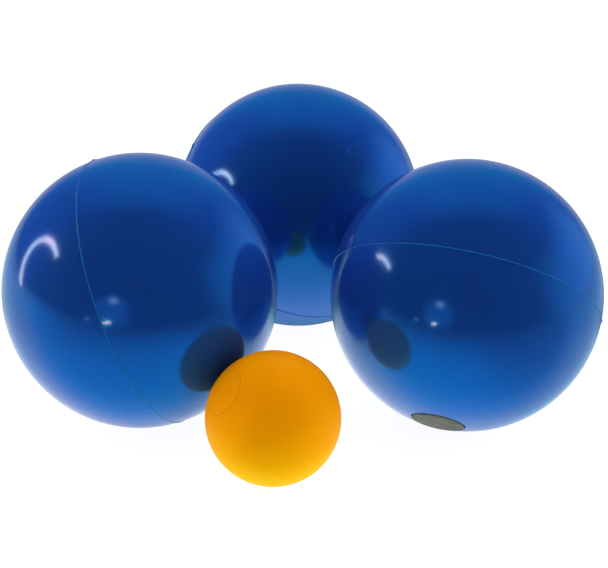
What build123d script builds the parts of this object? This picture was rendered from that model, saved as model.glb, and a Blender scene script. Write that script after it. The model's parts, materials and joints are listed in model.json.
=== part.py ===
from build123d import *
import math
import os

# Bocce set: three hollow balls, each two half shells welded at a raised seam, filled with sand
# through a port that a rubber bung closes, and one small jack of the same kind in one piece.
# All lengths are in millimetres and all angles in degrees. The ground is z = 0.

# Ball
BALL_DIAMETER = 107.0
BALL_WALL = 4.5
BALL_NAMES = ("left_ball", "right_ball", "far_ball")

# Where each ball stands on the ground before the set is centred
BALL_PLACES = {"left_ball": (-63.7, -40.7), "right_ball": (63.7, -33.5), "far_ball": (-4.1, 62.1)}

# Which way each ball's filling port points: azimuth from +X towards +Y, elevation above level
PORT_DIRECTIONS = {"left_ball": (174.2, -23.6), "right_ball": (-107.6, -49.3), "far_ball": (123.0, -43.5)}

# Stepped joint between the half shells, and the weld bead that fills its outer groove
SPIGOT_HEIGHT = 2.4
SPIGOT_THICKNESS = 2.2
JOINT_CLEARANCE = 0.05
WELD_DEPTH = 1.2
WELD_WIDTH = 0.5
FIN_HEIGHT = 0.4
FIN_CREST_WIDTH = 0.24

# Ball bung and its port
BUNG_DIAMETER = 20.6
BUNG_GAP = 0.3
BUNG_PROUD = 0.4
BUNG_HEAD = 2.2
BUNG_SHANK_DIAMETER = 13.8
BUNG_LIP_DIAMETER = 17.0
BUNG_LIP_THICKNESS = 1.5
PORT_HOLE_DIAMETER = 14.0
PORT_BOSS_DIAMETER = 22.0
PORT_BOSS_LEVEL = 47.0
RIB_RADIUS = 0.5
RIB_SQUEEZE = 0.15
EDGE_BREAK = 0.3

# Jack
JACK_DIAMETER = 50.5
JACK_WALL = 3.5
JACK_PLACE = (-9.8, -90.7)
JACK_PORT_DIRECTION = (-157.0, 35.0)
JACK_PLUG_DIAMETER = 17.6
JACK_PLUG_GAP = 0.06
JACK_EDGE_BREAK = 0.1
JACK_PLUG_HEAD_LEVEL = 22.2
JACK_SHANK_DIAMETER = 9.8
JACK_HOLE_DIAMETER = 10.0
JACK_BOSS_DIAMETER = 18.0
JACK_BOSS_LEVEL = 19.6
JACK_LIP_DIAMETER = 12.4
JACK_LIP_THICKNESS = 1.2

# Sand fill: it lies level near its top, and has a furrow where the bung passes as the ball rolls
FILL_CLEARANCE = 0.3
FILL_LEVEL = 0.7  # height of the levelled top above the centre, as a share of the fill's radius
LIP_GAP = 0.1  # between a bung's inner lip and the boss it snaps behind

# Level axis about which each ball and the jack roll
ROLL_AXES = {"left_ball": (0, 1, 0), "right_ball": (0, 1, 0), "far_ball": (-1, 0, 0), "jack": (1, 0, 0)}

BALL_RADIUS = BALL_DIAMETER / 2
JACK_RADIUS = JACK_DIAMETER / 2
PORT_RADIUS = BUNG_DIAMETER / 2 + BUNG_GAP
RIM_LEVEL = math.sqrt(BALL_RADIUS**2 - PORT_RADIUS**2)
BUNG_FACE_LEVEL = RIM_LEVEL + BUNG_PROUD
BUNG_SEAT_LEVEL = BUNG_FACE_LEVEL - BUNG_HEAD


def section(points):
    """A closed outline in the half plane through the pole axis, from (radius, height) points."""
    return Plane.XZ * make_face(Polyline(*points, close=True).edges())


def band(inner, outer, low, high):
    """A rectangle in the half plane, from two radii and two heights."""
    return section([(inner, low), (outer, low), (outer, high), (inner, high)])


def disc(radius):
    """A half disc about the ball's centre, on the +X side of the pole axis."""
    return Plane.XZ * Circle(radius) & band(0, radius + 1, -radius - 1, radius + 1)


def turn(outline):
    """The solid that an outline sweeps about the pole axis."""
    return revolve(outline, Axis.Z, 360)


def port_cut(hole_diameter, port_radius, seat_level, rim_level, edge_break, top):
    """Counterbore for a bung's head, its broken edge, and the hole for its shank."""
    counterbore = band(0, port_radius, seat_level, top)
    edge = section([(0, rim_level - edge_break), (port_radius, rim_level - edge_break),
                    (port_radius + edge_break, rim_level), (port_radius + edge_break, top), (0, top)])
    return counterbore + edge + band(0, hole_diameter / 2, 0, top)


def shank(head_level, boss_level, shank_diameter, hole_diameter, lip_diameter, lip_thickness):
    """Shank with two sealing ribs, and the tapered lip that snaps behind the boss."""
    radius = shank_diameter / 2
    lip_top = boss_level - LIP_GAP
    lip_end = lip_top - lip_thickness
    outline = band(0, radius, lip_end, head_level)
    outline += section([(0, lip_end), (radius, lip_end), (lip_diameter / 2, lip_end + lip_thickness / 2),
                        (lip_diameter / 2, lip_top), (0, lip_top)])
    for share in (1 / 3, 2 / 3):
        rib_height = boss_level + share * (head_level - boss_level)
        rib_centre = hole_diameter / 2 + RIB_SQUEEZE - RIB_RADIUS
        outline += Plane.XZ * Pos(rib_centre, rib_height) * Circle(RIB_RADIUS)
    return outline


def half_wall(side):
    """Half of the ball's wall in section: side is 1 above the joint, -1 below it."""
    wall = disc(BALL_RADIUS) - disc(BALL_RADIUS - BALL_WALL)
    return wall & band(0, BALL_RADIUS, min(0, side * BALL_RADIUS), max(0, side * BALL_RADIUS))


def weld_groove():
    return band(BALL_RADIUS - WELD_DEPTH, BALL_RADIUS + 1, -WELD_WIDTH / 2, WELD_WIDTH / 2)


def plain_half_shell():
    """Half shell with no port. Its spigot stands up into the other half."""
    inner = BALL_RADIUS - BALL_WALL
    spigot = disc(BALL_RADIUS) - disc(inner)
    spigot &= band(0, inner + SPIGOT_THICKNESS, 0, SPIGOT_HEIGHT)
    return turn(half_wall(-1) + spigot - weld_groove())


def port_half_shell():
    """Half shell with the filling port and its inner boss at the pole, and a socket at the joint."""
    socket_radius = BALL_RADIUS - BALL_WALL + SPIGOT_THICKNESS + JOINT_CLEARANCE
    socket = band(0, socket_radius, 0, SPIGOT_HEIGHT + JOINT_CLEARANCE)
    boss = band(0, PORT_BOSS_DIAMETER / 2, PORT_BOSS_LEVEL, BUNG_SEAT_LEVEL)
    port = port_cut(PORT_HOLE_DIAMETER, PORT_RADIUS, BUNG_SEAT_LEVEL, RIM_LEVEL, EDGE_BREAK, BALL_RADIUS + 1)
    return turn(half_wall(1) + boss - socket - weld_groove() - port)


def weld_bead():
    """Ring of weld plastic: a root in the groove and a thin fin that stands proud all round."""
    root = BALL_RADIUS - WELD_DEPTH
    foot = math.sqrt(BALL_RADIUS**2 - (WELD_WIDTH / 2) ** 2)
    shoulder = BALL_RADIUS + FIN_HEIGHT - FIN_CREST_WIDTH / 2
    half, crest = WELD_WIDTH / 2, FIN_CREST_WIDTH / 2
    flanks = Polyline((shoulder, crest), (foot, half), (root, half), (root, -half), (foot, -half),
                      (shoulder, -crest))
    nose = ThreePointArc((shoulder, -crest), (BALL_RADIUS + FIN_HEIGHT, 0), (shoulder, crest))
    return turn(Plane.XZ * make_face(flanks.edges() + nose.edges()))


def ball_bung():
    """Flat-faced rubber bung: head in the counterbore, ribbed shank, lip behind the boss."""
    radius = BUNG_DIAMETER / 2
    head = section([(0, BUNG_SEAT_LEVEL), (radius, BUNG_SEAT_LEVEL), (radius, BUNG_FACE_LEVEL - EDGE_BREAK),
                    (radius - EDGE_BREAK, BUNG_FACE_LEVEL), (0, BUNG_FACE_LEVEL)])
    return turn(head + shank(BUNG_SEAT_LEVEL, PORT_BOSS_LEVEL, BUNG_SHANK_DIAMETER, PORT_HOLE_DIAMETER,
                             BUNG_LIP_DIAMETER, BUNG_LIP_THICKNESS))


def jack_shell():
    """One-piece hollow ball with a port at the pole and a boss inside it."""
    port_radius = JACK_PLUG_DIAMETER / 2 + JACK_PLUG_GAP
    rim_level = math.sqrt(JACK_RADIUS**2 - port_radius**2)
    wall = disc(JACK_RADIUS) - disc(JACK_RADIUS - JACK_WALL)
    boss = band(0, JACK_BOSS_DIAMETER / 2, JACK_BOSS_LEVEL, JACK_PLUG_HEAD_LEVEL)
    port = port_cut(JACK_HOLE_DIAMETER, port_radius, JACK_PLUG_HEAD_LEVEL, rim_level, JACK_EDGE_BREAK,
                    JACK_RADIUS + 1)
    return turn(wall + boss - port)


def jack_plug():
    """Plug with a head that carries on the jack's round surface."""
    radius = JACK_PLUG_DIAMETER / 2
    head = disc(JACK_RADIUS) & band(0, radius, JACK_PLUG_HEAD_LEVEL, JACK_RADIUS)
    return turn(head + shank(JACK_PLUG_HEAD_LEVEL, JACK_BOSS_LEVEL, JACK_SHANK_DIAMETER,
                             JACK_HOLE_DIAMETER, JACK_LIP_DIAMETER, JACK_LIP_THICKNESS))


def furrow(inner_radius, reach, half_width, port, axis):
    """Ring that the inner end of a bung and its boss sweep as the shell turns about its roll axis."""
    low = reach - FILL_CLEARANCE
    side = half_width + FILL_CLEARANCE
    end = [(low, -side), (inner_radius, -side), (inner_radius, side), (low, side)]
    tilt = math.radians(90 - port.get_angle(axis))
    swept = section([(along * math.cos(tilt) - across * math.sin(tilt),
                      along * math.sin(tilt) + across * math.cos(tilt)) for along, across in end])
    return Plane(origin=(0, 0, 0), z_dir=axis).location * turn(swept)


def sand_fill(inner_radius, reach, half_width, port, axis):
    """Dry sand, its top lying level whichever way the shell has turned."""
    radius = inner_radius - FILL_CLEARANCE
    heap = turn(disc(radius) & band(0, radius, -radius, FILL_LEVEL * radius))
    return heap - furrow(inner_radius, reach, half_width, port, axis)


def direction(azimuth, elevation):
    turned, tilted = math.radians(azimuth), math.radians(elevation)
    return Vector(math.cos(tilted) * math.cos(turned), math.cos(tilted) * math.sin(turned), math.sin(tilted))


def set_middle():
    """Middle of the set's footprint, from the outlines of the balls and the jack."""
    rounds = [(place, BALL_RADIUS) for place in BALL_PLACES.values()] + [(JACK_PLACE, JACK_RADIUS)]
    return [(min(p[i] - r for p, r in rounds) + max(p[i] + r for p, r in rounds)) / 2 for i in (0, 1)]


def centre_of(place, radius):
    middle = set_middle()
    return Vector(place[0] - middle[0], place[1] - middle[1], radius)


def write(name, solid):
    export_step(solid, os.path.join("parts", f"{name}.step"))
    print(f"{name}: {solid.volume / 1000:.2f} cm3")


def write_ball(name):
    centre = centre_of(BALL_PLACES[name], BALL_RADIUS)
    port = direction(*PORT_DIRECTIONS[name])
    stand = Plane(origin=centre, z_dir=port).location
    write(f"{name}_plain_half_shell", stand * plain_half_shell())
    write(f"{name}_port_half_shell", stand * port_half_shell())
    write(f"{name}_weld_bead", stand * weld_bead())
    write(f"{name}_bung", stand * ball_bung())
    reach = PORT_BOSS_LEVEL - LIP_GAP - BUNG_LIP_THICKNESS
    fill = sand_fill(BALL_RADIUS - BALL_WALL, reach, PORT_BOSS_DIAMETER / 2, port, Vector(*ROLL_AXES[name]))
    write(f"{name}_sand_fill", Pos(centre) * fill)
    print(f"{name} centre:", [round(v, 3) for v in centre])


def write_jack():
    centre = centre_of(JACK_PLACE, JACK_RADIUS)
    port = direction(*JACK_PORT_DIRECTION)
    stand = Plane(origin=centre, z_dir=port).location
    write("jack_shell", stand * jack_shell())
    write("jack_plug", stand * jack_plug())
    reach = JACK_BOSS_LEVEL - LIP_GAP - JACK_LIP_THICKNESS
    fill = sand_fill(JACK_RADIUS - JACK_WALL, reach, JACK_BOSS_DIAMETER / 2, port, Vector(*ROLL_AXES["jack"]))
    write("jack_sand_fill", Pos(centre) * fill)
    print("jack centre:", [round(v, 3) for v in centre])


os.makedirs("parts", exist_ok=True)
for ball in BALL_NAMES:
    write_ball(ball)
write_jack()
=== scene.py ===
import json
import math

import bpy
import numpy as np
from mathutils import Matrix, Vector, noise


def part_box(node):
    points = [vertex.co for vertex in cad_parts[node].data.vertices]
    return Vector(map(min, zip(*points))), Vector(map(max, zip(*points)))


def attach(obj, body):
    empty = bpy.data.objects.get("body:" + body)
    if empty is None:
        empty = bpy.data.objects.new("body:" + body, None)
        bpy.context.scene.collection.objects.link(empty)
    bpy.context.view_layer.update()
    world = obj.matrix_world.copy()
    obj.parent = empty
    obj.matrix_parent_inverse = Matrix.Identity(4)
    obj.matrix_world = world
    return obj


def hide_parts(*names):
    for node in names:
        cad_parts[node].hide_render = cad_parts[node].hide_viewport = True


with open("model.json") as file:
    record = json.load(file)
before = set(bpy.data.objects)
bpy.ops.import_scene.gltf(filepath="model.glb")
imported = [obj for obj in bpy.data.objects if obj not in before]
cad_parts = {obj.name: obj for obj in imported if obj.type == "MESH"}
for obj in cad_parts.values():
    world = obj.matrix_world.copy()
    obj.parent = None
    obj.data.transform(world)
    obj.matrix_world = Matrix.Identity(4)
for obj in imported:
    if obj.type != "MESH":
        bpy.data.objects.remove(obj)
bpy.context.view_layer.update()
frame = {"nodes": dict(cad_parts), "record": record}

# Looks of the bocce set. The frame gives every place; lengths are in metres and angles in degrees.
# Part 1 reads what is needed from the frame, part 2 makes the materials, part 3 the moulded flash
# along the welds, and part 4 the studio: table, room, lamps and camera.

MM = 0.001
UP = Vector((0, 0, 1))
BALLS = ("left_ball", "right_ball", "far_ball")
scene = bpy.context.scene


# ---------------------------------------------------------------- 1. what the frame says

def node_slots():
    """Each CAD node's material slot, as the record names it."""
    return {part["node"]: part["material_slot"] for part in frame["record"]["subparts"]}


def body_of(node):
    """The body that a CAD node belongs to."""
    bodies = frame["record"]["behaviour"]["bodies"]
    return next(body for body, nodes in bodies.items() if node in nodes)


def vertices_of(node):
    return np.array([v.co for v in frame["nodes"][node].data.vertices])


def ball_centre_and_radius(name):
    """A ball's centre and radius, from the boxes of its two half shells."""
    boxes = [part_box(f"{name}_plain_half_shell"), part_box(f"{name}_port_half_shell")]
    low = Vector([min(b[0][i] for b in boxes) for i in range(3)])
    high = Vector([max(b[1][i] for b in boxes) for i in range(3)])
    return (low + high) / 2, (high.z - low.z) / 2


def port_direction(name, centre):
    """The way a ball's port points: square to its weld, on the bung's side."""
    ring = vertices_of(f"{name}_weld_bead") - np.array(centre)
    axis = Vector(np.linalg.svd(ring.T @ ring)[2][2])
    bung = Vector(vertices_of(f"{name}_bung").mean(axis=0)) - centre
    return axis if axis.dot(bung) > 0 else -axis


# ---------------------------------------------------------------- 2. materials

class Nodes:
    """A material's node tree, with short ways to add and join nodes."""

    def __init__(self, name):
        self.material = bpy.data.materials.new(name)
        self.material.use_nodes = True
        self.tree = self.material.node_tree
        self.shader = self.tree.nodes["Principled BSDF"]
        self.place = self.add("ShaderNodeTexCoord").outputs["Object"]

    def add(self, kind, **settings):
        node = self.tree.nodes.new(kind)
        for key, value in settings.items():
            setattr(node, key, value)
        return node

    def join(self, source, target):
        self.tree.links.new(source, target)

    def set(self, **sockets):
        """Sets the shader's own sockets, given as words joined with an underscore."""
        for key, value in sockets.items():
            self.shader.inputs[key.replace("_", " ")].default_value = value

    def noise(self, size, detail=2.0, rough=0.5, stretch=(1, 1, 1)):
        """Soft noise with grains about as wide as size."""
        mapping = self.add("ShaderNodeMapping")
        mapping.inputs["Scale"].default_value = stretch
        texture = self.add("ShaderNodeTexNoise")
        texture.inputs["Scale"].default_value = 1 / size
        texture.inputs["Detail"].default_value = detail
        texture.inputs["Roughness"].default_value = rough
        self.join(self.place, mapping.inputs["Vector"])
        self.join(mapping.outputs["Vector"], texture.inputs["Vector"])
        return texture.outputs["Fac"]

    def cells(self, size, feature="F1"):
        """Distance to the nearest of points scattered about size apart."""
        texture = self.add("ShaderNodeTexVoronoi", feature=feature)
        texture.inputs["Scale"].default_value = 1 / size
        self.join(self.place, texture.inputs["Vector"])
        return texture.outputs["Distance"]

    def ramp(self, value, *stops):
        """Colours at given values, smooth in between."""
        node = self.add("ShaderNodeValToRGB")
        elements = node.color_ramp.elements
        while len(elements) < len(stops):
            elements.new(0.5)
        for element, (at, colour) in zip(elements, stops):
            element.position = at
            element.color = (*colour, 1)
        self.join(value, node.inputs["Fac"])
        return node.outputs["Color"]

    def span(self, value, low, high, to_low, to_high):
        """Value moved from one range to another, and held inside it."""
        node = self.add("ShaderNodeMapRange", clamp=True)
        ends = {"From Min": low, "From Max": high, "To Min": to_low, "To Max": to_high}
        for key, number in ends.items():
            node.inputs[key].default_value = number
        self.join(value, node.inputs["Value"])
        return node.outputs["Result"]

    def mix(self, share, first, second):
        """Colour between first and second; each is a colour or another node's output."""
        node = self.add("ShaderNodeMix", data_type="RGBA")
        self.join(share, node.inputs["Factor"])
        colour_sockets = [s for s in node.inputs if s.type == "RGBA"]
        for socket, value in zip(colour_sockets, (first, second)):
            if isinstance(value, tuple):
                socket.default_value = (*value, 1)
            else:
                self.join(value, socket)
        return [s for s in node.outputs if s.type == "RGBA"][0]

    def math(self, operation, first, second):
        node = self.add("ShaderNodeMath", operation=operation)
        for socket, value in zip(node.inputs, (first, second)):
            if isinstance(value, (int, float)):
                socket.default_value = value
            else:
                self.join(value, socket)
        return node.outputs["Value"]

    def bump(self, height, distance, strength=1.0, under=None):
        """Normals from a height that runs from 0 to 1 over distance."""
        node = self.add("ShaderNodeBump")
        node.inputs["Distance"].default_value = distance
        node.inputs["Strength"].default_value = strength
        self.join(height, node.inputs["Height"])
        if under is not None:
            self.join(under, node.inputs["Normal"])
        return node.outputs["Normal"]

    def finish(self, colour, roughness, normal):
        self.join(colour, self.shader.inputs["Base Color"])
        self.join(roughness, self.shader.inputs["Roughness"])
        self.join(normal, self.shader.inputs["Normal"])
        return self.material


def ball_plastic():
    """Deep blue glossy shell: faint flow clouds in the colour, dust, hair scratches, slight ripple."""
    n = Nodes("ball_plastic")
    clouds = n.noise(0.045, detail=3)
    colour = n.ramp(clouds, (0.3, (0.0045, 0.027, 0.170)), (0.7, (0.0055, 0.032, 0.190)))
    dust = n.ramp(n.cells(0.0031), (0.0, (1, 1, 1)), (0.05, (1, 1, 1)), (0.075, (0, 0, 0)))
    patches = n.span(n.noise(0.02), 0.52, 0.66, 0.0, 0.5)
    dusty = n.mix(n.math("MULTIPLY", dust, patches), colour, (0.05, 0.11, 0.28))
    scratches = n.noise(0.0009, detail=1, stretch=(1, 0.06, 0.35))
    scuffed = n.span(scratches, 0.66, 0.78, 0.0, 0.05)
    haze = n.span(n.noise(0.03, detail=4), 0.35, 0.7, 0.125, 0.155)
    ripple = n.bump(n.noise(0.012, detail=1), 0.00002)
    normal = n.bump(n.noise(0.0006, detail=2), 0.000002, under=ripple)
    n.set(IOR=2.2, Specular_IOR_Level=0.7, Specular_Tint=(0, 0.3, 1, 1))
    n.set(Coat_Weight=0.1, Coat_Roughness=0.08, Coat_IOR=1.5)
    return n.finish(dusty, n.math("ADD", haze, scuffed), normal)


def weld_plastic():
    """The same plastic where it was squeezed out of the joint, with a drawn, duller skin. Its paler colour
    is partly its own and partly a painted highlight for the light the raised flash catches.
    """
    n = Nodes("weld_plastic")
    # Paler blues than the shell: partly the flash's own colour, partly painted highlight for the light the
    # raised flash catches
    colour = n.ramp(n.noise(0.009, detail=3), (0.3, (0.004, 0.085, 0.30)), (0.7, (0.006, 0.115, 0.37)))
    roughness = n.span(n.noise(0.004, detail=3), 0.3, 0.7, 0.38, 0.50)
    normal = n.bump(n.noise(0.0012, detail=3), 0.00002)
    n.set(IOR=2.0, Specular_IOR_Level=0.3, Specular_Tint=(0, 0.45, 1, 1))
    return n.finish(colour, roughness, normal)


def bung_rubber():
    """Grey-olive rubber, mottled and streaked, dull, with a fine grain and pressed-in grit."""
    n = Nodes("bung_rubber")
    mottle = n.ramp(n.noise(0.0034, detail=4, rough=0.6), (0.25, (0.038, 0.031, 0.030)),
                    (0.5, (0.060, 0.047, 0.044)), (0.75, (0.100, 0.078, 0.072)))
    streaks = n.span(n.noise(0.0028, detail=3, stretch=(0.25, 1, 0.6)), 0.45, 0.7, 0.0, 0.8)
    streaked = n.mix(streaks, mottle, (0.028, 0.026, 0.021))
    grit = n.ramp(n.cells(0.0013), (0.0, (1, 1, 1)), (0.10, (1, 1, 1)), (0.16, (0, 0, 0)))
    colour = n.mix(n.math("MULTIPLY", grit, 0.4), streaked, (0.025, 0.023, 0.020))
    roughness = n.span(n.noise(0.002), 0.3, 0.7, 0.55, 0.75)
    grain = n.bump(n.noise(0.0005, detail=3), 0.00003)
    normal = n.bump(n.noise(0.003, detail=2), 0.00012, under=grain)
    n.set(IOR=1.5, Specular_IOR_Level=0.35)
    return n.finish(colour, roughness, normal)


def jack_plastic():
    """Satin orange-yellow: soft clouds in the colour, a fine grain and a few scuffs."""
    n = Nodes("jack_plastic")
    clouds = n.noise(0.018, detail=3)
    colour = n.ramp(clouds, (0.3, (0.655, 0.222, 0.0003)), (0.7, (0.688, 0.243, 0.0005)))
    specks = n.ramp(n.cells(0.0024), (0.0, (1, 1, 1)), (0.05, (1, 1, 1)), (0.08, (0, 0, 0)))
    speckled = n.mix(n.math("MULTIPLY", specks, 0.2), colour, (0.60, 0.20, 0.01))
    roughness = n.span(n.noise(0.012, detail=4), 0.3, 0.7, 0.46, 0.56)
    grain = n.bump(n.noise(0.0007, detail=3), 0.00001)
    normal = n.bump(n.noise(0.006, detail=2), 0.00005, under=grain)
    n.set(IOR=1.5, Specular_IOR_Level=0.01, Specular_Tint=(1, 0.75, 0.3, 1))
    return n.finish(speckled, roughness, normal)


def sand():
    """Dry sand inside the shells: pale grains with darker ones among them."""
    n = Nodes("sand")
    grains = n.ramp(n.noise(0.0006, detail=3, rough=0.7), (0.3, (0.34, 0.24, 0.13)),
                    (0.6, (0.62, 0.49, 0.31)), (0.8, (0.78, 0.69, 0.52)))
    dark = n.ramp(n.cells(0.0012), (0.0, (1, 1, 1)), (0.16, (1, 1, 1)), (0.24, (0, 0, 0)))
    colour = n.mix(n.math("MULTIPLY", dark, 0.6), grains, (0.16, 0.11, 0.07))
    roughness = n.span(n.noise(0.001), 0.3, 0.7, 0.85, 0.98)
    normal = n.bump(n.noise(0.0005, detail=3), 0.0003)
    n.set(IOR=1.45, Specular_IOR_Level=0.2)
    return n.finish(colour, roughness, normal)


FINISHES = (ball_plastic, weld_plastic, bung_rubber, jack_plastic, sand)
MATERIALS = {make.__name__: make() for make in FINISHES}


def dress(thing, slot):
    """Gives a piece or a CAD node the finish of its slot."""
    thing.data.materials.clear()
    thing.data.materials.append(MATERIALS[slot])


# ---------------------------------------------------------------- 3. flash along the welds

FLASH_ROOT = 0.8 * MM  # how deep the flash is set into the ball
FLASH_TUCK = 0.02 * MM  # its straight sides end this far below the ball's surface
FLASH_FOOT = 0.23 * MM  # half its width at the ball
FLASH_HEIGHT = 0.36 * MM
FLASH_LEAN = 0.10 * MM  # how far its crest wanders aside
FLASH_SHOULDER = 0.92  # its rounded part is a little narrower than its foot
FLASH_NARROWING = 0.45  # and narrower again, by this share, at the crest
FLASH_FULLNESS = 0.8  # below 1 the crest is fuller than a plain arc

# How uneven the flash is: its mean height, the share that slow and quick waves add to that, and
# how closely the waves in height, lean and width follow each other, in turns of noise per metre
MEAN_SHARE = 0.72
SLOW_SHARE = 0.20
QUICK_SHARE = 0.06
FOOT_SHARE = 0.15
SLOW_WAVES = 90
QUICK_WAVES = 700
LEAN_WAVES = 160
FOOT_WAVES = 300

RING_STEPS = 1440
SECTION_STEPS = 10
SPUR_STEPS = 24
SPUR_SIDES = 12
SPUR_LIFT = 0.10 * MM  # how far the middle of a spur is arched off the ball
SPUR_PROUD = 0.5  # its axis lies half its own radius above the ball
SPUR_AHEAD = 0.01  # share of its length over which its heading is taken
NIB_RINGS = 8
NIB_SUNK = 0.35  # a nib's centre lies this share of its radius below the ball's surface

# Each burr's angle round the weld, from its level direction towards its highest point, its height in
# mm and its width in degrees
BURRS = {
    "left_ball": [(103.1, 0.38, 0.9), (15.5, 0.1, 2.0), (231.0, 0.2, 1.5)],
    "right_ball": [(138.0, 0.25, 1.5), (353.2, 0.22, 1.8), (60.0, 0.1, 2.2), (205.0, 0.2, 1.4)],
    "far_ball": [(42.1, 0.3, 1.6), (303.0, 0.12, 2.4), (180.0, 0.2, 1.4)],
}


def burr_height(name, angle):
    """Extra height of the flash at the burrs, each a low bump."""
    total = 0.0
    for at, height, width in BURRS[name]:
        away = (angle - at + 180) % 360 - 180
        total += height * MM * math.exp(-(away / width) ** 2)
    return total


def flash_section(radius, height, lean, foot):
    """The flash's outline across the weld, as (distance from centre, offset along the port axis)."""
    points = [(radius - FLASH_ROOT, -foot), (radius - FLASH_TUCK, -foot)]
    for step in range(SECTION_STEPS + 1):
        turn = math.pi * (step / SECTION_STEPS - 0.5)
        half = foot * FLASH_SHOULDER * (1 - FLASH_NARROWING * math.cos(turn))
        distance = radius + height * math.cos(turn) ** FLASH_FULLNESS
        points.append((distance, half * math.sin(turn) + lean * math.cos(turn)))
    points += [(radius - FLASH_TUCK, foot), (radius - FLASH_ROOT, foot)]
    return points


def weld_frame(name):
    """A ball's centre and radius, and the level, rising and port-ward directions of its weld."""
    centre, radius = ball_centre_and_radius(name)
    axis = port_direction(name, centre)
    across = UP.cross(axis).normalized()
    return centre, radius, across, axis.cross(across), axis


WELDS = {ball: weld_frame(ball) for ball in BALLS}


def weld_way(name, angle, aside=0.0):
    """Unit vector from a ball's centre to a place round its weld, or that many degrees aside, portwards."""
    across, along, axis = WELDS[name][2:]
    out = across * math.cos(math.radians(angle)) + along * math.sin(math.radians(angle))
    return out * math.cos(math.radians(aside)) + axis * math.sin(math.radians(aside))


def moulded(name, ball, verts, faces):
    """A smooth piece of weld plastic that goes with its ball."""
    mesh = bpy.data.meshes.new(name)
    mesh.from_pydata(verts, [], faces)
    mesh.update()
    mesh.shade_smooth()
    piece = bpy.data.objects.new(name, mesh)
    scene.collection.objects.link(piece)
    dress(piece, "weld_plastic")
    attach(piece, body_of(f"{ball}_weld_bead"))
    return piece


def tube_faces(rings, sides):
    """Faces of a run of rings of points, without the ends."""
    faces = []
    for ring in range(rings):
        here, there = ring * sides, (ring + 1) * sides
        for i in range(sides):
            j = (i + 1) % sides
            faces.append((here + i, here + j, there + j, there + i))
    return faces


def weld_flash(name):
    """A closed ring of squeezed-out plastic along the weld, uneven in height, width and lean."""
    centre, radius = WELDS[name][:2]
    axis = WELDS[name][4]
    verts = []
    for step in range(RING_STEPS):
        angle = 360 * step / RING_STEPS
        out = weld_way(name, angle)
        spot = centre + out * radius
        slow = noise.noise(spot * SLOW_WAVES)
        quick = noise.noise(spot * QUICK_WAVES)
        share = MEAN_SHARE + SLOW_SHARE * slow + QUICK_SHARE * quick
        height = FLASH_HEIGHT * share + burr_height(name, angle)
        lean = FLASH_LEAN * noise.noise(spot * LEAN_WAVES + axis)
        foot = FLASH_FOOT * (1 + FOOT_SHARE * noise.noise(spot * FOOT_WAVES - axis))
        outline = flash_section(radius, height, lean, foot)
        verts += [centre + out * distance + axis * offset for distance, offset in outline]
    total = len(verts)
    faces = [tuple(i % total for i in face) for face in tube_faces(RING_STEPS, len(outline))]
    ring = moulded(f"{name}_weld_flash", name, verts, faces)
    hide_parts(f"{name}_weld_bead")


def weld_spur(name, angle, reach, thick, thin):
    """A thread of flash that lies on the ball from the weld, away from the port; reach is in degrees,
    and its radius runs from thick to thin, in mm."""
    centre, radius = WELDS[name][:2]
    verts = []
    for step in range(SPUR_STEPS + 1):
        share = step / SPUR_STEPS
        way = weld_way(name, angle, -reach * share)
        ahead = weld_way(name, angle, -reach * (share + SPUR_AHEAD)) - way
        side = way.cross(ahead).normalized()
        size = (thick + (thin - thick) * share) * MM
        middle = centre + way * (radius + SPUR_PROUD * size + SPUR_LIFT * math.sin(math.pi * share))
        for i in range(SPUR_SIDES):
            turn = 2 * math.pi * i / SPUR_SIDES
            verts.append(middle + side * size * math.cos(turn) + way * size * math.sin(turn))
    ends = [tuple(reversed(range(SPUR_SIDES))), tuple(range(SPUR_STEPS * SPUR_SIDES, len(verts)))]
    moulded(f"{name}_weld_spur", name, verts, tube_faces(SPUR_STEPS, SPUR_SIDES) + ends)


def weld_nib(name, angle, aside, size):
    """A small rounded drop of plastic beside the weld, partly sunk into the ball; size is its radius
    in mm."""
    centre, radius = WELDS[name][:2]
    way = weld_way(name, angle, aside)
    side = way.cross(UP).normalized()
    rise = side.cross(way)
    foot = centre + way * (radius - NIB_SUNK * size * MM)
    verts = []
    for ring in range(NIB_RINGS):
        tilt = math.pi * (ring + 0.5) / NIB_RINGS
        for i in range(SPUR_SIDES):
            turn = 2 * math.pi * i / SPUR_SIDES
            flat = side * math.cos(turn) + rise * math.sin(turn)
            verts.append(foot + (way * math.cos(tilt) + flat * math.sin(tilt)) * size * MM)
    last = (NIB_RINGS - 1) * SPUR_SIDES
    ends = [tuple(range(SPUR_SIDES)), tuple(reversed(range(last, last + SPUR_SIDES)))]
    faces = [tuple(reversed(face)) for face in tube_faces(NIB_RINGS - 1, SPUR_SIDES)]
    moulded(f"{name}_weld_nib", name, verts, faces + ends)


# ---------------------------------------------------------------- 4. studio

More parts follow.
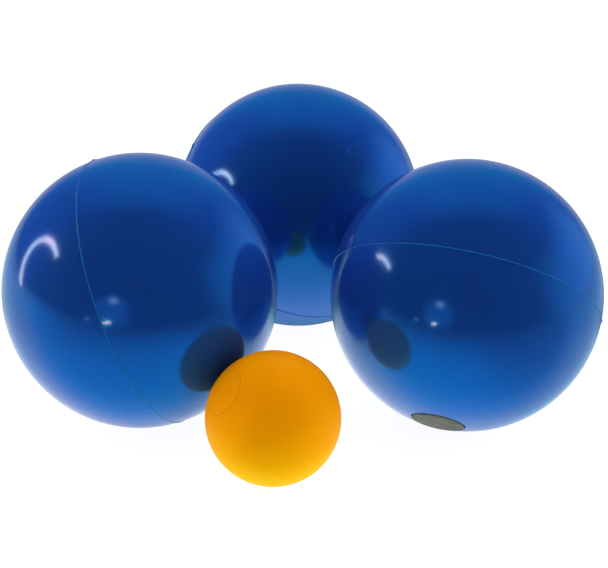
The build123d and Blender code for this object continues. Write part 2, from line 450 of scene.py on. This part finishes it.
class Light:
    """Node tree of a glowing surface or of the room, whose strength may differ by kind of ray."""

    def __init__(self, tree):
        self.tree = tree
        tree.nodes.clear()
        self.path = self.add("ShaderNodeLightPath")
        coordinates = self.add("ShaderNodeTexCoord")
        self.object_place = coordinates.outputs["Object"]
        self.direction = coordinates.outputs["Generated"]

    def add(self, kind, **settings):
        node = self.tree.nodes.new(kind)
        for key, value in settings.items():
            setattr(node, key, value)
        return node

    def join(self, source, target):
        self.tree.links.new(source, target)

    def axes(self, vector):
        """The x, y and z of a vector."""
        node = self.add("ShaderNodeSeparateXYZ")
        self.join(vector, node.inputs["Vector"])
        return [node.outputs[name] for name in "XYZ"]

    def profile(self, value, low, high, stops):
        """Level at each value, smooth between stops of (value, level)."""
        spread = self.add("ShaderNodeMapRange")
        spread.inputs["From Min"].default_value = low
        spread.inputs["From Max"].default_value = high
        self.join(value, spread.inputs["Value"])
        ramp = self.add("ShaderNodeValToRGB")
        elements = ramp.color_ramp.elements
        while len(elements) < len(stops):
            elements.new(0.5)
        for element, (at, level) in zip(elements, stops):
            element.position = (at - low) / (high - low)
            element.color = (level, level, level, 1)
        self.join(spread.outputs["Result"], ramp.inputs["Fac"])
        return ramp.outputs["Color"]

    def math(self, operation, *values):
        """All the values added up, or multiplied together, or the like."""
        result = values[0]
        for value in values[1:]:
            node = self.add("ShaderNodeMath", operation=operation)
            for socket, part in zip(node.inputs, (result, value)):
                self.feed(part, socket)
            result = node.outputs["Value"]
        return result

    def feed(self, value, socket):
        """Puts a number, or another node's output, into a socket."""
        if not isinstance(value, (int, float)):
            self.join(value, socket)
        elif socket.type == "RGBA":
            socket.default_value = (value, value, value, 1)
        else:
            socket.default_value = value

    def colour(self, red, green, blue):
        node = self.add("ShaderNodeCombineColor")
        for name, value in (("Red", red), ("Green", green), ("Blue", blue)):
            self.feed(value, node.inputs[name])
        return node.outputs["Color"]

    def choose(self, ray, when, otherwise):
        """One colour for rays of a kind, such as Is Glossy Ray, and another for the rest."""
        node = self.add("ShaderNodeMix", data_type="RGBA")
        self.join(self.path.outputs[ray], node.inputs["Factor"])
        sides = [socket for socket in node.inputs if socket.type == "RGBA"]
        for socket, value in zip(sides, (otherwise, when)):
            self.feed(value, socket)
        return [socket for socket in node.outputs if socket.type == "RGBA"][0]


def glow(name, colour, strength, fade=0.0):
    """A lamp's or panel's light, even or dimming towards the edges at x and y of -1 and 1."""
    material = bpy.data.materials.new(name)
    material.use_nodes = True
    light = Light(material.node_tree)
    lit = light.add("ShaderNodeEmission")
    lit.inputs["Color"].default_value = (*colour, 1)
    lit.inputs["Strength"].default_value = strength
    if fade:
        edges = [light.math("ABSOLUTE", axis, 0) for axis in light.axes(light.object_place)[:2]]
        dims = [light.profile(edge, 0, 1, [(0, 1), (1 - fade, 1), (1, 0)]) for edge in edges]
        light.join(light.math("MULTIPLY", strength, *dims), lit.inputs["Strength"])
    light.join(lit.outputs["Emission"], light.add("ShaderNodeOutputMaterial").inputs["Surface"])
    return material


def stage_mesh(name, verts, faces, material, camera=False, glossy=True, diffuse=False):
    """A piece of the studio, seen only by the kinds of ray that it is meant for."""
    mesh = bpy.data.meshes.new(name)
    mesh.from_pydata(verts, [], faces)
    thing = bpy.data.objects.new(name, mesh)
    scene.collection.objects.link(thing)
    mesh.materials.append(material)
    thing.visible_camera = camera
    thing.visible_glossy = glossy
    thing.visible_diffuse = diffuse
    thing.visible_transmission = False
    thing.visible_shadow = False
    return thing


TABLE_FRONT = -0.45
TABLE_BACK = 1.1
TABLE_SIDE = 0.9
FLOOR_REACH = 60.0
FLOOR_DROP = 0.2 * MM
WHITE = 1.1  # a little past white, so that it stays plain white in the picture
TABLE_SEEN = 0.94  # the table's own glow for the camera; the light that falls on it brings it to white
TABLE_PAINT = 0.15  # how much of the falling light it returns

# How brightly the table shows in reflections across its width (x) and along its depth (y), in metres
GLOW_ACROSS = [(-0.9, 0.22), (-0.60, 0.45), (-0.40, 0.70), (-0.20, 0.70), (-0.13, 0.95), (-0.06, 1.06),
               (0.0, 1.20), (0.065, 1.16), (0.10, 0.83), (0.15, 0.69), (0.24, 0.54), (0.9, 0.5)]
GLOW_ALONG = [(-0.45, 0.0), (-0.33, 0.05), (-0.215, 0.40), (-0.17, 0.60), (-0.13, 0.80), (-0.09, 0.98),
              (-0.065, 1.15), (0.0, 1.08), (0.10, 0.95), (0.25, 0.6), (0.6, 0.5), (1.1, 0.5)]
# Share of red in it: the light is cool in front and at the sides, white close to the set
RED_ACROSS = [(-0.9, 0.55), (-0.46, 0.6), (-0.41, 0.42), (-0.33, 0.58), (-0.24, 0.62), (-0.19, 0.85),
              (-0.10, 1.0), (0.06, 1.0), (0.10, 0.68), (0.21, 0.65), (0.25, 0.45), (0.34, 0.30),
              (0.43, 0.28), (0.9, 0.36)]
RED_ALONG = [(-0.45, 0.0), (-0.10, 0.02), (-0.08, 0.5), (-0.07, 0.85), (-0.06, 1.0), (0.2, 0.85), (1.1, 0.8)]
# Share of blue in it
BLUE_ALONG = [(-0.45, 1.4), (-0.08, 1.16), (-0.06, 0.92), (0.05, 0.88), (0.12, 1.0), (1.1, 1.1)]
TABLE_SOFT = 1.6  # how much stronger its soft light on the set is than what the set mirrors

# In shade from under the far ball backwards: how deep across x and along y. Red is shaded twice.
SHADE_ACROSS = [(-0.9, 0), (-0.19, 0), (-0.13, 0.88), (0.17, 0.88), (0.22, 0), (0.9, 0)]
SHADE_ALONG = [(-0.45, 0), (0.02, 0), (0.06, 1), (0.42, 1), (0.6, 0), (1.1, 0)]

# In reflections it is dimmer too in front on the right
DIM_ACROSS = [(-0.9, 0), (0.08, 0), (0.16, 0.5), (0.45, 0.5), (0.65, 0), (0.9, 0)]
DIM_ALONG = [(-0.45, 1), (-0.10, 1), (-0.05, 0), (1.1, 0)]

# In reflections it is dark where a ball stands close above: its brightness by how open it lies there
CONTACT_REACH = 0.03
CONTACT_SAMPLES = 4
CONTACT_SHADE = [(0, 0.1), (0.3, 1), (1, 1)]

# Near the jack the table's soft light is greener, which turns the orange jack yellow underneath: how
# far, by distance from where it stands, and the change in red, green and blue
BOUNCE_REACH = 0.10
BOUNCE_FADE = [(0, 1), (0.035, 1), (0.08, 0), (0.10, 0)]
BOUNCE_CHANGE = (-0.05, 0.85, 0.0)


def jack_spot():
    """Where on the table the jack stands, as (x, y)."""
    low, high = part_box("jack_shell")
    return (low[0] + high[0]) / 2, (low[1] + high[1]) / 2


def rectangle(x_low, x_high, y_low, y_high, z):
    return [(x_low, y_low, z), (x_high, y_low, z), (x_high, y_high, z), (x_low, y_high, z)]


def table():
    """White table top that glows softly, as a sheet lit from below, and takes faint shadows."""
    material = bpy.data.materials.new("table_top")
    material.use_nodes = True
    light = Light(material.node_tree)
    x, y = light.axes(light.object_place)[:2]

    def across(stops):
        return light.profile(x, -TABLE_SIDE, TABLE_SIDE, stops)

    def along(stops):
        return light.profile(y, TABLE_FRONT, TABLE_BACK, stops)

    away = light.add("ShaderNodeVectorMath", operation="DISTANCE")
    light.join(light.object_place, away.inputs[0])
    away.inputs[1].default_value = (*jack_spot(), 0)
    shade = light.math("SUBTRACT", 1, light.math("MULTIPLY", across(SHADE_ACROSS), along(SHADE_ALONG)))
    dim = light.math("SUBTRACT", 1, light.math("MULTIPLY", across(DIM_ACROSS), along(DIM_ALONG)))
    pool = light.math("MULTIPLY", across(GLOW_ACROSS), along(GLOW_ALONG), shade)
    sky = light.add("ShaderNodeAmbientOcclusion", samples=CONTACT_SAMPLES)
    sky.inputs["Distance"].default_value = CONTACT_REACH
    sheen = light.math("MULTIPLY", pool, dim, light.profile(sky.outputs["AO"], 0, 1, CONTACT_SHADE))
    red = light.math("MULTIPLY", sheen, shade, across(RED_ACROSS), along(RED_ALONG))
    mirrored = light.colour(red, sheen, light.math("MULTIPLY", sheen, along(BLUE_ALONG)))
    near = light.profile(away.outputs["Value"], 0, BOUNCE_REACH, BOUNCE_FADE)
    tints = [light.math("ADD", 1, light.math("MULTIPLY", near, change)) for change in BOUNCE_CHANGE]
    soft = light.colour(*(light.math("MULTIPLY", pool, TABLE_SOFT, tint) for tint in tints))
    lit = light.add("ShaderNodeEmission")
    seen = light.choose("Is Camera Ray", TABLE_SEEN, light.choose("Is Glossy Ray", mirrored, soft))
    light.join(seen, lit.inputs["Color"])
    sheet = light.add("ShaderNodeBsdfDiffuse")
    sheet.inputs["Color"].default_value = (TABLE_PAINT, TABLE_PAINT, TABLE_PAINT, 1)
    both = light.add("ShaderNodeAddShader")
    light.join(lit.outputs["Emission"], both.inputs[0])
    light.join(sheet.outputs["BSDF"], both.inputs[1])
    light.join(both.outputs["Shader"], light.add("ShaderNodeOutputMaterial").inputs["Surface"])
    corners = rectangle(-TABLE_SIDE, TABLE_SIDE, TABLE_FRONT, TABLE_BACK, 0)
    stage_mesh("table_top", corners, [(0, 1, 2, 3)], material, camera=True, diffuse=True)


def floor():
    """Plain pale floor that runs on past the table to the horizon. Only the camera sees it."""
    corners = rectangle(-FLOOR_REACH, FLOOR_REACH, -FLOOR_REACH, FLOOR_REACH, -FLOOR_DROP)
    white = glow("floor", (1, 1, 1), WHITE)
    stage_mesh("floor", corners, [(0, 1, 2, 3)], white, camera=True, glossy=False)


# What reflections see of the room, by direction (x to the right, y away from the camera, z up, each
# from -1 to 1): all that is behind, the middle of that, and a large soft lamp on the right
ROOM_BEHIND = [(-1, 0), (-0.05, 0), (0.3, 1), (1, 1)]
ROOM_MIDDLE = [(0, 1), (0.25, 1), (0.45, 0.5), (0.6, 0.05), (1, 0)]
# The red behind keeps to a low hill: its level by height, and by how far aside and how high together
ROOM_LOW = [(0, 1), (0.1, 0.75), (0.25, 0.6), (0.42, 0.3), (0.6, 0.05), (1, 0)]
ROOM_HILL = [(0, 1), (0.45, 1), (0.53, 0.55), (0.58, 0), (1, 0)]
ROOM_RIGHT = [(0, 0), (0.52, 0), (0.72, 0.85), (0.85, 1), (1, 1)]
ROOM_RIGHT_DEPTH = [(-1, 0), (-0.5, 0), (-0.3, 0.55), (-0.1, 1), (1, 1)]
ROOM_RIGHT_HEIGHT = [(0, 1), (0.3, 0.95), (0.45, 0.6), (0.62, 0), (1, 0)]
# Levels of red, green and blue: one everywhere, and what each part of the room adds to it
ROOM_COLOURS = [
    {"everywhere": 0.01, "glare": 0.47, "right": 0.28},
    {"everywhere": 0.08, "behind": 0.08, "middle": 0.36, "right": 0.60},
    {"everywhere": 0.12, "behind": 0.30, "middle": 0.26, "right": 0.66},
]
# The room's soft light on the set, by depth and by how far aside it comes from
SOFT_DEPTH = [(-1, 0), (-0.5, 0.4), (0, 0.9), (0.5, 1.9), (1, 3.0)]
SOFT_ASIDE = [(0, 0), (0.2, 0), (0.6, 0.6), (1, 2.6)]


def room():
    """White behind everything for the camera, a dim blue-grey room in reflections, soft light on the set."""
    world = bpy.data.worlds.new("room")
    scene.world = world
    world.use_nodes = True
    light = Light(world.node_tree)
    x, y, z = light.axes(light.direction)
    aside = light.math("ABSOLUTE", x, 0)
    behind = light.profile(y, -1, 1, ROOM_BEHIND)
    middle = light.math("MULTIPLY", behind, light.profile(aside, 0, 1, ROOM_MIDDLE))
    hill = light.profile(light.math("ADD", aside, z), 0, 1, ROOM_HILL)
    glare = light.math("MULTIPLY", behind, hill, light.profile(z, 0, 1, ROOM_LOW))
    right = light.math("MULTIPLY", light.profile(x, 0, 1, ROOM_RIGHT),
                       light.profile(y, -1, 1, ROOM_RIGHT_DEPTH), light.profile(z, 0, 1, ROOM_RIGHT_HEIGHT))
    parts = {"behind": behind, "middle": middle, "glare": glare, "right": right}

    def level(everywhere, **shares):
        terms = [light.math("MULTIPLY", parts[name], share) for name, share in shares.items()]
        return light.math("ADD", everywhere, *terms)

    mirrored = light.colour(*(level(**levels) for levels in ROOM_COLOURS))
    soft = light.math("ADD", light.profile(y, -1, 1, SOFT_DEPTH), light.profile(aside, 0, 1, SOFT_ASIDE))
    air = light.add("ShaderNodeBackground")
    seen = light.choose("Is Camera Ray", WHITE, light.choose("Is Glossy Ray", mirrored, soft))
    light.join(seen, air.inputs["Color"])
    light.join(air.outputs["Background"], light.add("ShaderNodeOutputWorld").inputs["Surface"])


# The strip lamp on the left is an arc of a ring that stands upright beside the set: its place along x,
# its centre in y and z, and the angles round it at which the arc starts low behind and ends high in front
STRIP_X = -0.58
STRIP_CENTRE = (-0.060, 0.128)
STRIP_RADIUS = 0.198
STRIP_FROM = -46.0
STRIP_TO = 117.0
STRIP_STEPS = 64
STRIP_WIDTH = 0.036  # at its high end
STRIP_TAPER = 0.3  # it is wider by this share at its low end
STRIP_TIP = 0.6  # but drawn in to this share at the low tip
STRIP_TIP_SPREAD = 6.0  # and how fast it widens from there, in widths over its length
STRIP_STRENGTH = 10
STRIP_LOW = (0.90, 0.52, 0.32)  # colour behind
STRIP_HIGH = (4.4, 0.94, 0.46)  # colour in front, at the hot high end
STRIP_HEAT = [(-0.3, 1), (0.0, 1), (0.1, 0), (0.2, 0)]  # share of the second, by y


def strip_half_width(share):
    """Half the strip's width at a share of its length."""
    tapered = 1 + STRIP_TAPER - STRIP_TAPER * share
    return STRIP_WIDTH / 2 * min(tapered, STRIP_TIP + STRIP_TIP_SPREAD * share)


def strip_lamp():
    """Bright curved strip, hottest at its high end, seen only in reflections."""
    verts, faces = [], []
    for i in range(STRIP_STEPS + 1):
        share = i / STRIP_STEPS
        angle = math.radians(STRIP_FROM + (STRIP_TO - STRIP_FROM) * share)
        half = strip_half_width(share)
        for radius in (STRIP_RADIUS - half, STRIP_RADIUS + half):
            y = STRIP_CENTRE[0] + radius * math.cos(angle)
            z = STRIP_CENTRE[1] + radius * math.sin(angle)
            verts.append((STRIP_X, y, z))
    for i in range(STRIP_STEPS):
        faces.append((2 * i, 2 * i + 1, 2 * i + 3, 2 * i + 2))
    material = bpy.data.materials.new("strip_lamp")
    material.use_nodes = True
    light = Light(material.node_tree)
    y = light.axes(light.object_place)[1]
    hot = light.profile(y, STRIP_HEAT[0][0], STRIP_HEAT[-1][0], STRIP_HEAT)
    tint = light.add("ShaderNodeMix", data_type="RGBA")
    low, high = [s for s in tint.inputs if s.type == "RGBA"]
    low.default_value = (*STRIP_LOW, 1)
    high.default_value = (*STRIP_HIGH, 1)
    light.join(hot, tint.inputs["Factor"])
    lit = light.add("ShaderNodeEmission")
    lit.inputs["Strength"].default_value = STRIP_STRENGTH
    light.join([s for s in tint.outputs if s.type == "RGBA"][0], lit.inputs["Color"])
    light.join(lit.outputs["Emission"], light.add("ShaderNodeOutputMaterial").inputs["Surface"])
    stage_mesh("strip_lamp", verts, faces, material)


# Lamps by the camera that show as small highlights. Corners of 2 make an ellipse and higher ones a
# squarer outline; a lamp dims over the outer share of its half width and half height that fade gives.
PANEL_TARGET = (0, 0, 0.06)
PANEL_STEPS = 48
PANELS = {
    "front_panel": {"centre": (-0.252, -0.672, 0.106), "width": 0.40, "height": 0.32,
                    "colour": (0.5, 0.8, 1), "strength": 0.62, "corners": 6, "fade": 0.5},
    "front_spot_high": {"centre": (-0.239, -0.663, 0.208), "width": 0.125, "height": 0.09,
                        "colour": (1, 0.20, 0.16), "strength": 21.0, "corners": 2, "fade": 0.95},
    "front_spot_low": {"centre": (-0.276, -0.655, 0.012), "width": 0.055, "height": 0.022,
                       "colour": (1, 0.115, 0.048), "strength": 165.0, "corners": 2, "fade": 0.3},
    "front_spot_left": {"centre": (-0.451, -0.581, 0.011), "width": 0.06, "height": 0.03,
                        "colour": (1, 0.26, 0.21), "strength": 13.0, "corners": 2, "fade": 0.8},
}


def panel(name, centre, width, height, colour, strength, corners, fade):
    """A flat lamp with rounded corners that faces the set, seen only in reflections."""
    back = (Vector(PANEL_TARGET) - Vector(centre)).normalized()
    side = UP.cross(back).normalized()
    rise = back.cross(side)
    verts = []
    for i in range(PANEL_STEPS):
        angle = 2 * math.pi * i / PANEL_STEPS
        c, s = math.cos(angle), math.sin(angle)
        x = math.copysign(abs(c) ** (2 / corners), c)
        y = math.copysign(abs(s) ** (2 / corners), s)
        verts.append((x, y, 0))
    lamp = stage_mesh(name, verts, [tuple(range(PANEL_STEPS))], glow(name, colour, strength, fade))
    turned = Matrix((side * width / 2, rise * height / 2, back)).transposed()
    lamp.matrix_world = Matrix.Translation(centre) @ turned.to_4x4()


SENSOR_WIDTH = 36
LENS = 105.58
CAMERA_PITCH = 22.67
CAMERA_ROLL = 2.11
CAMERA_AIM = (-0.0002, 0.0, 0.0417)
CAMERA_DISTANCE = 0.7366
CAMERA_NEAR = 0.01
CAMERA_FAR = 200


def camera():
    """Camera at the set's front, a little above it, looking down and rolled very slightly."""
    data = bpy.data.cameras.new("camera")
    data.sensor_width = SENSOR_WIDTH
    data.lens = LENS
    data.clip_start = CAMERA_NEAR
    data.clip_end = CAMERA_FAR
    pitch, roll = math.radians(CAMERA_PITCH), math.radians(CAMERA_ROLL)
    forward = Vector((0, math.cos(pitch), -math.sin(pitch)))
    right = Vector((1, 0, 0))
    top = right.cross(forward)
    x_axis = right * math.cos(roll) + top * math.sin(roll)
    y_axis = top * math.cos(roll) - right * math.sin(roll)
    place = Vector(CAMERA_AIM) - forward * CAMERA_DISTANCE
    turned = Matrix((x_axis, y_axis, -forward)).transposed()
    eye = bpy.data.objects.new("camera", data)
    eye.matrix_world = Matrix.Translation(place) @ turned.to_4x4()
    scene.collection.objects.link(eye)
    scene.camera = eye


def studio():
    scene.view_settings.view_transform = "Standard"
    room()
    table()
    floor()
    strip_lamp()
    for name, lamp in PANELS.items():
        panel(name, **lamp)
    camera()


for node, slot in node_slots().items():
    dress(frame["nodes"][node], slot)
for ball in BALLS:
    weld_flash(ball)
weld_spur("right_ball", angle=138.2, reach=5.0, thick=0.22, thin=0.12)
weld_nib("left_ball", angle=68.0, aside=0.45, size=0.62)
studio()
